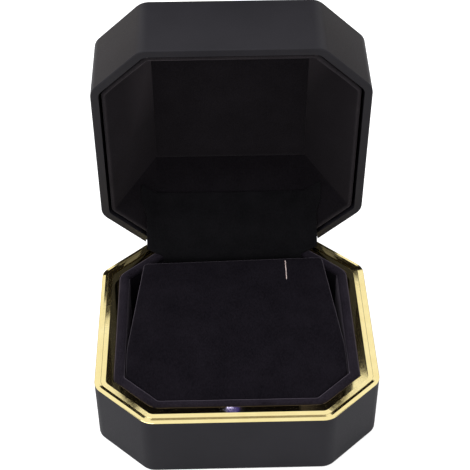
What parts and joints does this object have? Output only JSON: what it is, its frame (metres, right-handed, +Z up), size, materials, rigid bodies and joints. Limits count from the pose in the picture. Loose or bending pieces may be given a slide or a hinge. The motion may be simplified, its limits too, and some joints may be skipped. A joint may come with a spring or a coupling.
{
  "type": "ring display box",
  "caption": "Octagonal hinged display box in soft black with a gold rim, a velvet-lined lid with a lamp, and a slanted velvet pad with a ring slit.",
  "frame": {"origin": "centre of the underside, on the surface that the box stands on", "axes": "+Z up, +Y from the front of the box to its hinge, +X along the hinge to the right as seen from the front"},
  "size_m": [0.09, 0.1135, 0.1127],
  "materials": {
    "soft_black": "soft-touch black lacquer on moulded plastic",
    "felt": "black felt",
    "gold_plate": "polished gold plating",
    "velvet": "short black velvet pile",
    "card": "plain grey-brown card",
    "foam": "soft pale foam",
    "steel": "plain bright steel",
    "lamp": "clear lamp lens",
    "black_plastic": "moulded black plastic",
    "board": "green lacquered circuit board",
    "lead": "insulated lead"
  },
  "bodies": {
    "base": {"base_shell": "soft_black", "foot_felt": "felt", "gold_rim": "gold_plate", "tray_well": "velvet", "tray_border": "velvet", "pad_board": "card", "pad_foam": "foam", "pad_cover": "velvet", "hinge_strip": "velvet", "base_leaf": "steel", "hinge_pin": "steel", "hinge_springs": "steel", "base_leaf_screws": "steel"},
    "lid": {"lid_shell": "soft_black", "lid_liner": "velvet", "lid_panel": "velvet", "lid_leaf": "steel", "lid_leaf_screws": "steel", "led_lamp": "lamp", "led_bezel": "black_plastic", "circuit_board": "board", "coin_cell": "steel", "cell_clip": "steel", "switch_body": "black_plastic", "lead_wires": "lead"},
    "plunger": {"switch_plunger": "black_plastic"}
  },
  "joints": [
    {"name": "lid_hinge", "type": "hinge", "parent": "base", "child": "lid", "pos_m": [0, 0.0434, 0.0218], "axis": [1, 0, 0], "range_deg": [0, 80], "deforming": ["hinge_strip", "hinge_springs"]},
    {"name": "switch_press", "type": "slide", "parent": "lid", "child": "plunger", "axis": [0, 0.9848, 0.1736], "range_m": [0, 0.0012], "stiffness_N_per_m": 1}
  ],
  "couplings": [
    {"joint": "switch_press", "follows": "lid_hinge", "m_per_rad": 0.000859}
  ]
}
